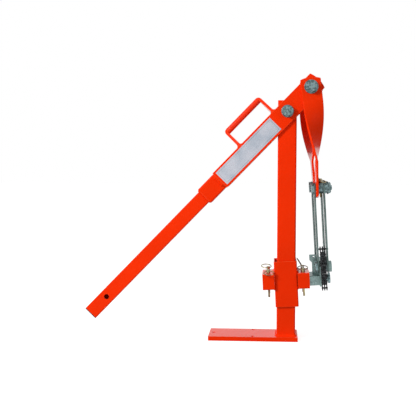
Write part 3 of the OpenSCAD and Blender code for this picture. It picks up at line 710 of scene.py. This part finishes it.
class PULLER_OT_camera(bpy.types.Operator):
    """Makes the camera at the photograph's place and aim"""
    bl_idname = "puller.camera"
    bl_label = "Camera"

    def execute(self, context):
        s = context.scene.puller_camera
        right, up, forward = camera_axes(s)
        data = bpy.data.cameras.new("camera")
        data.sensor_fit = "AUTO"
        data.sensor_width = s.sensor
        data.lens = s.lens
        data.shift_x = s.shift_x
        data.shift_y = s.shift_y
        data.clip_start = 0.05
        data.clip_end = 60
        camera = bpy.data.objects.new("camera", data)
        context.scene.collection.objects.link(camera)
        turn = Matrix((right, up, -forward)).transposed().to_4x4()
        camera.matrix_world = Matrix.Translation(s.place) @ turn
        context.scene.camera = camera
        return {"FINISHED"}


class PULLER_OT_base_and_post(bpy.types.Operator):
    """Makes the base plate and the square post"""
    bl_idname = "puller.base_and_post"
    bl_label = "Base and post"

    def execute(self, context):
        coated("base_plate", "base_plate_coated", faces="base_coat")
        coated("post_tube", "post_coated")
        return {"FINISHED"}


class PULLER_OT_lever(bpy.types.Operator):
    """Makes the fork plates, the sleeve, the handle and the carry handle"""
    bl_idname = "puller.lever"
    bl_label = "Lever"

    def execute(self, context):
        s = context.scene.puller_finish
        coated("lever_plate_near", "fork_plate_near")
        coated("lever_plate_far", "fork_plate_far")
        coated("lever_sleeve", "sleeve_coated")
        coated("handle_tube", "handle_coated")
        coated("carry_legs", "carry_legs_coated")
        dressed("carry_grip", "carry_grip_coated", ["grip_coat"], s.edge * 1.5, 3)
        refinished("carry_welds", "powder_coat")
        fitting("handle_end_cap", "end_cap", "moulded_plastic", 0.0009)
        return {"FINISHED"}


class PULLER_OT_weld_beads(bpy.types.Operator):
    """Makes the rippled weld beads of the post foot, the lever and the sockets"""
    bl_idname = "puller.weld_beads"
    bl_label = "Weld beads"

    def execute(self, context):
        sizes = context.scene.puller_sizes
        spacing = sizes.bead_pitch / 4
        sleeve_margin, collar_margin = 6 * MM, 5 * MM
        leg, end_leg, post_corner, handle_corner = 6 * MM, 12 * MM, 6 * MM, 4 * MM
        low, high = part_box("post_tube")
        half = (high.y - low.y) / 2
        up = Vector((0, 0, 1))
        foot = [(Vector((p.x, p.y, low.z)), Vector((n.x, n.y, 0)) * leg, up * leg)
                for p, n in square_loop(half, post_corner, spacing)]
        piece = weld_bead("post_foot_bead", foot, True, Matrix.Identity(4))
        settle(piece, ["post_foot_weld"])

        lever = at_lever()
        plate_end = min(p.x for p in in_frame(lever, NODES["lever_plate_near"].data))
        plate_y = -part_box("lever_plate_near")[0].y
        sleeve_end = min(p.x for p in in_frame(lever, NODES["lever_sleeve"].data))
        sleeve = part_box("lever_sleeve")[1].y
        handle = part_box("handle_tube")[1].y
        beads = []
        for side in (-1, 1):
            line = [(Vector((plate_end, side * sleeve, z)), Vector((-end_leg, 0, 0)),
                     Vector((0, side * (plate_y - sleeve - MM), 0)))
                    for z in even_steps(sleeve - sleeve_margin, spacing)]
            beads.append(weld_bead(f"plate_end_bead_{side}", line, False, lever))
        mouth = [(Vector((sleeve_end, p.x, p.y)),
                  Vector((0, n.x, n.y)) * (sleeve - handle - MM), Vector((-leg, 0, 0)))
                 for p, n in square_loop(handle, handle_corner, spacing)]
        beads.append(weld_bead("sleeve_mouth_bead", mouth, True, lever))
        settle(joined("lever_beads", beads), ["lever_welds"])

        collar = leaning("collar_tube", sizes.collar_tilt)
        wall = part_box("collar_tube")[1].y
        socket = in_frame(collar, NODES["socket_left"].data)
        levels = [min(p.z for p in socket), max(p.z for p in socket)]
        beads = []
        for side in (-1, 1):
            for level, way in zip(levels, (-1, 1)):
                line = [(Vector((side * wall, y, level)), Vector((side * leg, 0, 0)),
                         Vector((0, 0, way * leg)))
                        for y in even_steps(wall - collar_margin, spacing)]
                beads.append(weld_bead(f"socket_bead_{side}_{way}", line, False, collar))
        settle(joined("socket_beads", beads), ["socket_welds"])
        return {"FINISHED"}


class PULLER_OT_twisted_arms(bpy.types.Operator):
    """Makes the two arms of flat bar, each with a quarter turn in it"""
    bl_idname = "puller.twisted_arms"
    bl_label = "Twisted arms"

    def execute(self, context):
        for node, name in (("arm_near", "twisted_arm_near"), ("arm_far", "twisted_arm_far")):
            self.make_arm(node, name)
        return {"FINISHED"}

    def make_arm(self, node, name):
        s = bpy.context.scene.puller_sizes
        low_length = s.arm_length - s.twist_from - s.twist_length
        slope_top = (s.arm_offset + s.arm_kink * (s.twist_length / 2 + low_length))
        slope_top /= s.arm_length
        half_w, half_t = s.arm_width / 2, s.arm_thickness / 2
        tip, crown, radius = 26 * MM, 7 * MM, 1.3 * MM
        top_hole, low_hole = 12.05 * MM, 8.05 * MM
        end_steps, top_steps, twist_steps, low_steps = 10, 6, 150, 10
        arc = (half_w ** 2 + crown ** 2) / (2 * crown)

        def place(depth, u, w):
            t = min(max((depth - s.twist_from) / s.twist_length, 0), 1)
            lean = math.atan(slope_top - s.arm_kink * t)
            turn = t * math.pi / 2
            across = Vector((math.cos(lean) * math.cos(turn), math.sin(turn),
                             math.sin(lean) * math.cos(turn)))
            through = Vector((-math.cos(lean) * math.sin(turn), math.cos(turn),
                              -math.sin(lean) * math.sin(turn)))
            bend = 0.0
            if depth > s.twist_from:
                past = min(depth - s.twist_from, s.twist_length)
                bend = past ** 2 / (2 * s.twist_length)
                bend += max(depth - s.twist_from - s.twist_length, 0)
            middle_x = slope_top * depth - s.arm_kink * bend
            return Vector((middle_x, 0, -depth)) + across * u + through * w

        def section(inset):
            """The rounded outline of the bar, smaller by an inset."""
            a, b = half_w - inset, half_t - inset
            r = max(radius - inset, 0.1 * MM)
            outline, flats = [], 26
            for cx, cy, corner in rounded_corners(a, b, r, 3):
                outline += corner
                if cx * cy > 0:
                    outline += [(cx * (a - r) * (1 - 2 * k / flats), cy * b)
                                for k in range(1, flats)]
            return outline

        def end_reach(u):
            return tip + crown - arc + math.sqrt(arc ** 2 - u ** 2)

        rows = []
        for k in (3, 2, 1):
            angle = math.radians(30 * k)
            inset = radius * (1 - math.cos(angle))
            rows.append((1.0, inset, radius * (1 - math.sin(angle))))
        for k in range(end_steps):
            rows.append((1.0 - k / end_steps, 0.0, radius))
        low_start = s.twist_from + s.twist_length
        body = [s.twist_from * k / top_steps for k in range(top_steps)]
        body += [s.twist_from + s.twist_length * k / twist_steps for k in range(twist_steps)]
        body += [low_start + low_length * k / low_steps for k in range(low_steps)]
        rings = []
        for share, inset, short in rows:
            rings.append([place(-share * (end_reach(u) - short), u, w)
                          for u, w in section(inset)])
        for depth in body:
            rings.append([place(depth, u, w) for u, w in section(0.0)])
        for share, inset, short in reversed(rows):
            rings.append([place(s.arm_length + share * (end_reach(u) - short), u, w)
                          for u, w in section(inset)])
        side = -1 if node == "arm_near" else 1
        width = abs(middle(node).y)
        matrix = leaning("top_spacer", s.hang_tilt) @ Matrix.Translation((0, side * width, 0))
        if side > 0:
            matrix = matrix @ Matrix.Diagonal((-1, 1, 1, 1))
        rings = [[matrix @ point for point in ring] for ring in rings]
        piece = lofted(name, rings, False, "powder_coat")
        spans = (("Y", top_hole, matrix @ Vector((0, 0, 0))),
                 ("X", low_hole, matrix @ Vector((s.arm_offset, 0, -s.arm_length))))
        cutters = []
        for axis, hole, centre in spans:
            cutters.append(self.cutter(axis, hole, centre))
            cut = piece.modifiers.new("Hole", "BOOLEAN")
            cut.operation = "DIFFERENCE"
            cut.solver = "EXACT"
            cut.object = cutters[-1]
        bake(piece)
        for cutter in cutters:
            bpy.data.objects.remove(cutter)
        smooth(piece, 32)
        settle(piece, [node])

    def cutter(self, axis, radius, centre):
        """A round bar that cuts a hole across the arm."""
        s = bpy.context.scene.puller_sizes
        ways = {"Y": (Vector((1, 0, 0)), Vector((0, 0, 1)), Vector((0, 1, 0))),
                "X": (Vector((0, 1, 0)), Vector((0, 0, 1)), Vector((1, 0, 0)))}
        a, b, along = ways[axis]
        half_length, sides = 30 * MM, 64
        if axis == "X":
            turn = Matrix.Rotation(-s.hang_tilt, 3, "Y")
            a, b, along = turn @ a, turn @ b, turn @ along
        rings = []
        for step in (-1, 1):
            rings.append([centre + along * step * half_length
                          + (a * math.cos(t) + b * math.sin(t)) * radius
                          for t in (2 * math.pi * k / sides for k in range(sides))])
        return lofted(f"cutter_{axis}", rings, False, "powder_coat")


class PULLER_OT_label(bpy.types.Operator):
    """Makes the bare film on the near fork plate, with a plain keyline"""
    bl_idname = "puller.label"
    bl_label = "Label"

    def execute(self, context):
        film = fitting("label_plate", "label_film_bare", "label_film", 0.00018, 1)
        tree = BVHTree.FromPolygons([v.co[:] for v in film.data.vertices],
                                    [p.vertices[:] for p in film.data.polygons])
        centre = on_surface(*POINTS["label"], tree)
        lever = at_lever()
        local = in_frame(lever, film.data)
        span = [max(p[i] for p in local) - min(p[i] for p in local) for i in (0, 2)]
        here = lever.inverted() @ centre
        face = min(p.y for p in local)
        inset, corner_radius, line, proud = 5 * MM, 3 * MM, 0.9 * MM, 0.06 * MM
        here.x = ((max(p.x for p in local) + min(p.x for p in local)) / 2 + here.x) / 2
        here.z = (max(p.z for p in local) + min(p.z for p in local)) / 2
        outlines = []
        for grow in (0.0, line):
            a, b = (side / 2 - inset - grow for side in span)
            outlines.append([point for _, _, corner in rounded_corners(a, b, corner_radius, 6)
                             for point in corner])
        outer, inner = outlines
        rings = []
        for (ox, oz), (ix, iz) in zip(outer, inner):
            rings.append([lever @ Vector((here.x + px, py, here.z + pz)) for px, py, pz in (
                (ox, face + proud, oz), (ox, face - proud, oz),
                (ix, face - proud, iz), (ix, face + proud, iz))])
        keyline = lofted("label_keyline", rings, True, "label_print")
        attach(keyline, NODES["label_plate"]["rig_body"])
        return {"FINISHED"}


class PULLER_OT_bolts(bpy.types.Operator):
    """Makes the two cross bolts with their nuts, washers, bush and spacer"""
    bl_idname = "puller.bolts"
    bl_label = "Bolts"

    def execute(self, context):
        for place in ("pivot", "top"):
            thread = self.turned_down(f"{place}_nut")
            fitting(f"{place}_bolt", f"{place}_bolt_plated", "bright_zinc",
                    change=thread)
            fitting(f"{place}_nut", f"{place}_nut_plated", "bright_zinc")
            fitting(f"{place}_washers", f"{place}_washers_plated", "dull_zinc",
                    0.0007)
            self.thread(place)
        refinished("pivot_bush", "dull_zinc")
        refinished("top_spacer", "dull_zinc")
        return {"FINISHED"}

    def turned_down(self, nut):
        """Thins the copy of a bolt past its nut, where the thread's ridges stand."""
        centre = middle(nut)
        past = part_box(nut)[1].y + 0.5 * MM
        share = 0.88

        def change(work):
            for v in work.verts:
                if v.co.y > past:
                    v.co.x = centre.x + (v.co.x - centre.x) * share
                    v.co.z = centre.z + (v.co.z - centre.z) * share
        return change

    def thread(self, place):
        """A helical ridge on the end of a bolt."""
        centre = middle(f"{place}_nut")
        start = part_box(f"{place}_nut")[1].y
        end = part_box(f"{place}_bolt")[1].y
        radius, root, ridge, flank = 11.7 * MM, 1.6 * MM, 1.3 * MM, 0.9 * MM
        pitch, chamfer, per_turn = 2.6 * MM, 0.8 * MM, 48
        turns = (end - start - chamfer) / pitch
        steps = round(turns * per_turn)
        rings = []
        for i in range(steps + 1):
            t = i / steps
            angle = 2 * math.pi * turns * t
            y = start + (end - start - chamfer) * t
            out = Vector((math.cos(angle), 0, math.sin(angle)))
            fade = min(1.0, 8 * t + 0.15, 8 * (1 - t) + 0.15)
            base = Vector((centre.x, y, centre.z))
            rings.append([base + out * (radius - root) + Vector((0, -flank, 0)),
                          base + out * (radius - ridge * (1 - fade)),
                          base + out * (radius - root) + Vector((0, flank, 0))])
        piece = lofted(f"{place}_bolt_thread", rings, False, "bright_zinc")
        smooth(piece, 60)
        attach(piece, NODES[f"{place}_bolt"]["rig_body"])


class PULLER_OT_coupler(bpy.types.Operator):
    """Makes the coupler pins with their lock collars, nuts and roll pins"""
    bl_idname = "puller.coupler"
    bl_label = "Coupler"

    def execute(self, context):
        fittings("plated", "bright_zinc", "zinc", 0.0009, "coupler_pins")
        fittings("plated", "dull_zinc", "galvanised", 0.0009, "lock_collars")
        fittings("plated", "bright_zinc", "zinc", 0.0007, "coupler_nuts")
        fittings("black", "oiled_chain", "chain_steel", 0.0005, "coupler_roll_pins")
        return {"FINISHED"}


class PULLER_OT_straps(bpy.types.Operator):
    """Makes the four flat draw straps"""
    bl_idname = "puller.straps"
    bl_label = "Draw straps"

    def execute(self, context):
        # The straps' darker steel is painted shade.
        fittings("dark", "strap_steel", "galvanised", 0.0007, "straps_near", "straps_far")
        return {"FINISHED"}


class PULLER_OT_jaw(bpy.types.Operator):
    """Makes the jaw: pins, end discs, spacers, yoke, tongue, lug and draw bolt"""
    bl_idname = "puller.jaw"
    bl_label = "Jaw"

    def execute(self, context):
        fittings("plated", "bright_zinc", "zinc", 0.0009, "jaw_pins")
        fittings("coated", "galvanised_steel", "galvanised", 0.001, "jaw_end_discs")
        fittings("coated", "dull_zinc", "galvanised", 0.0007, "jaw_spacers")
        fittings("coated", "galvanised_steel", "galvanised", 0.0009, "jaw_yoke", "jaw_tongue")
        fittings("coated", "galvanised_steel", "galvanised", 0.0007, "jaw_lug")
        fittings("plated", "bright_zinc", "zinc", 0.001, "draw_bolt")
        return {"FINISHED"}


class PULLER_OT_chain(bpy.types.Operator):
    """Makes the grip chain: interleaved plates, pins and the anchor"""
    bl_idname = "puller.chain"
    bl_label = "Grip chain"

    def execute(self, context):
        fittings("oiled", "oiled_chain", "chain_steel", 0.00035,
                 "chain_top_wide_plates", "chain_top_narrow_plates",
                 "chain_wide_plates", "chain_narrow_plates")
        fittings("oiled", "oiled_chain", "chain_steel", 0.0009,
                 "chain_top_pin", "chain_pins", "chain_anchor_pin", steps=3)
        return {"FINISHED"}


class PULLER_OT_collar(bpy.types.Operator):
    """Makes the sliding collar and its two sockets"""
    bl_idname = "puller.collar"
    bl_label = "Collar"

    def execute(self, context):
        coated("collar_tube", "collar_coated", 0.0009)
        for node in ("socket_left", "socket_right"):
            coated(node, f"{node}_coated")
        return {"FINISHED"}


class PULLER_OT_ring_pins(bpy.types.Operator):
    """Makes the ring pins and their rings"""
    bl_idname = "puller.ring_pins"
    bl_label = "Ring pins"

    def execute(self, context):
        for place in ("left_near", "left_far", "right_near", "right_far"):
            fittings("plated", "yellow_plate", "yellow_zinc", 0.0009,
                     f"ring_pin_{place}", steps=3)
            refinished(f"ring_{place}", "yellow_plate")
        fittings("plated", "yellow_plate", "yellow_zinc", 0.0009,
                 "coupler_ring_pins", steps=3)
        refinished("coupler_rings", "yellow_plate")
        return {"FINISHED"}


class PULLER_OT_stage(bpy.types.Operator):
    """Makes the pale floor, the plain background and the soft lamps"""
    bl_idname = "puller.stage"
    bl_label = "Stage"

    def execute(self, context):
        s = context.scene.puller_stage
        self.make_floor(s)
        self.make_world(context.scene, s)
        self.lamp("key", place=(-2.25, -2.0, 1.9), size=1.0, power=s.key)
        self.lamp("fill", place=(2.4, -1.6, 1.0), size=1.6, power=s.fill)
        return {"FINISHED"}

    def seen_rays(self, tree):
        """1 for camera, glossy and transmission rays, and 0 for the rest."""
        path = tree.nodes.new("ShaderNodeLightPath")
        total = None
        for name in ("Is Camera Ray", "Is Glossy Ray", "Is Transmission Ray"):
            if total is None:
                total = path.outputs[name]
                continue
            add = tree.nodes.new("ShaderNodeMath")
            add.operation = "ADD"
            add.use_clamp = True
            tree.links.new(total, add.inputs[0])
            tree.links.new(path.outputs[name], add.inputs[1])
            total = add.outputs[0]
        return total

    def make_floor(self, s):
        half = s.floor_size / 2
        work = bmesh.new()
        squares, below, glow_strength = 24, 0.4 * MM, 0.80
        bmesh.ops.create_grid(work, x_segments=squares, y_segments=squares, size=half)
        bmesh.ops.translate(work, verts=work.verts, vec=(0, 0, -below))
        mesh = mesh_from(work, "floor")
        floor = bpy.data.objects.new("floor", mesh)
        bpy.context.scene.collection.objects.link(floor)
        material = bpy.data.materials.new("pale_floor")
        material.use_nodes = True
        tree = material.node_tree
        tree.nodes.clear()
        output = tree.nodes.new("ShaderNodeOutputMaterial")
        paper = node_in(tree, "ShaderNodeBsdfDiffuse", {"Color": (0.5, 0.5, 0.5, 1)})
        glow = node_in(tree, "ShaderNodeEmission", {"Color": WHITE})
        strength = tree.nodes.new("ShaderNodeMath")
        strength.operation = "MULTIPLY"
        strength.inputs[1].default_value = glow_strength
        tree.links.new(self.seen_rays(tree), strength.inputs[0])
        tree.links.new(strength.outputs[0], glow.inputs["Strength"])
        both = tree.nodes.new("ShaderNodeAddShader")
        tree.links.new(paper.outputs[0], both.inputs[0])
        tree.links.new(glow.outputs[0], both.inputs[1])
        tree.links.new(both.outputs[0], output.inputs["Surface"])
        mesh.materials.append(material)
        floor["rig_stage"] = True

    def make_world(self, scene, s):
        world = bpy.data.worlds.new("studio")
        world.use_nodes = True
        tree = world.node_tree
        tree.nodes.clear()
        output = tree.nodes.new("ShaderNodeOutputWorld")
        soft = node_in(tree, "ShaderNodeBackground", {"Color": WHITE, "Strength": s.ambient})
        white = node_in(tree, "ShaderNodeBackground", {"Color": WHITE, "Strength": 1.0})
        mix = tree.nodes.new("ShaderNodeMixShader")
        tree.links.new(self.seen_rays(tree), mix.inputs[0])
        tree.links.new(soft.outputs[0], mix.inputs[1])
        tree.links.new(white.outputs[0], mix.inputs[2])
        tree.links.new(mix.outputs[0], output.inputs["Surface"])
        scene.world = world

    def lamp(self, name, place, size, power):
        """A soft round lamp that faces the middle of the machine."""
        target = Vector((-0.2, 0, 0.42))
        data = bpy.data.lights.new(name, "AREA")
        data.shape = "DISK"
        data.size = size
        data.energy = power
        lamp = bpy.data.objects.new(name, data)
        lamp.location = place
        lamp.rotation_euler = (target - Vector(place)).to_track_quat("-Z", "Y").to_euler()
        bpy.context.scene.collection.objects.link(lamp)


class PULLER_OT_points(bpy.types.Operator):
    """Works out where each feature and every shown vertex falls in the photograph's frame"""
    bl_idname = "puller.points"
    bl_label = "Image points"

    def execute(self, context):
        down_lever = (0.03, -0.3, -1.41)
        features = {
            "top_bolt": self.near_face("top_washers"),
            "pivot_bolt": self.near_face("pivot_washers"),
            "handle_end": far_corner("handle_end_cap", down_lever),
            "cross_hole": self.cross_hole(),
            "base_left": far_corner("base_plate", (-1, -1, -1)),
            "base_right": far_corner("base_plate", (1, -1, -1)),
            "fork_low_corner": far_corner("lever_plate_near", down_lever),
            "label": middle("label_plate"),
            "socket_left_foot": far_corner("socket_left", (-1, -0.5, -1)),
            "chain_foot": far_corner("chain_wide_plates", (-0.3, 0, -1)),
        }
        for name, (x, y) in POINTS.items():
            px, py = image_point(features[name])
        xs, ys = [], []
        for piece in shown_pieces():
            for v in piece.data.vertices:
                px, py = image_point(piece.matrix_world @ v.co)
                xs.append(px)
                ys.append(py)
        return {"FINISHED"}

    def near_face(self, node):
        place = middle(node)
        place.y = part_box(node)[0].y
        return place

    def cross_hole(self):
        """The middle of the hole near the end of the handle, on the near wall."""
        lever = at_lever()
        local = in_frame(lever, NODES["handle_tube"].data)
        end = min(p.x for p in local)
        wall = min(p.y for p in local)
        half_hole, skin, end_part = 10 * MM, 0.1 * MM, 150 * MM
        rim = [p for p in local if abs(p.z) < half_hole and abs(p.y - wall) < skin
               and p.x < end + end_part]
        centre = sum(rim, Vector()) / len(rim)
        return lever @ Vector((centre.x, wall, 0))


class PULLER_PT_panel(bpy.types.Panel):
    """Lists the pieces of the post puller"""
    bl_idname = "PULLER_PT_panel"
    bl_label = "Post Puller"
    bl_space_type = "VIEW_3D"
    bl_region_type = "UI"
    bl_category = "Post Puller"

    def draw(self, context):
        for step in STEPS:
            self.layout.operator(step.bl_idname)
        for group in ("puller_camera", "puller_finish", "puller_sizes", "puller_stage"):
            box = self.layout.box()
            settings = getattr(context.scene, group)
            for name in settings.__annotations__:
                box.prop(settings, name)


STEPS = (
    PULLER_OT_camera, PULLER_OT_base_and_post, PULLER_OT_lever, PULLER_OT_weld_beads,
    PULLER_OT_twisted_arms, PULLER_OT_label, PULLER_OT_bolts, PULLER_OT_coupler,
    PULLER_OT_straps, PULLER_OT_jaw, PULLER_OT_chain, PULLER_OT_collar,
    PULLER_OT_ring_pins, PULLER_OT_stage, PULLER_OT_points,
)
GROUPS = {"puller_camera": PullerCamera, "puller_finish": PullerFinish,
          "puller_sizes": PullerSizes, "puller_stage": PullerStage}


def register():
    for name, group in GROUPS.items():
        bpy.utils.register_class(group)
        setattr(bpy.types.Scene, name, PointerProperty(type=group))
    for step in STEPS:
        bpy.utils.register_class(step)
    bpy.utils.register_class(PULLER_PT_panel)


def unregister():
    bpy.utils.unregister_class(PULLER_PT_panel)
    for step in reversed(STEPS):
        bpy.utils.unregister_class(step)
    for name, group in GROUPS.items():
        delattr(bpy.types.Scene, name)
        bpy.utils.unregister_class(group)


def main():
    register()
    bpy.context.scene.view_settings.view_transform = "Standard"
    bpy.ops.puller.camera()
    bpy.ops.puller.base_and_post()
    bpy.ops.puller.lever()
    bpy.ops.puller.weld_beads()
    bpy.ops.puller.twisted_arms()
    bpy.ops.puller.label()
    bpy.ops.puller.bolts()
    bpy.ops.puller.coupler()
    bpy.ops.puller.straps()
    bpy.ops.puller.jaw()
    bpy.ops.puller.chain()
    bpy.ops.puller.collar()
    bpy.ops.puller.ring_pins()
    bpy.ops.puller.stage()
    bpy.ops.puller.points()


if __name__ == "__main__":
    main()
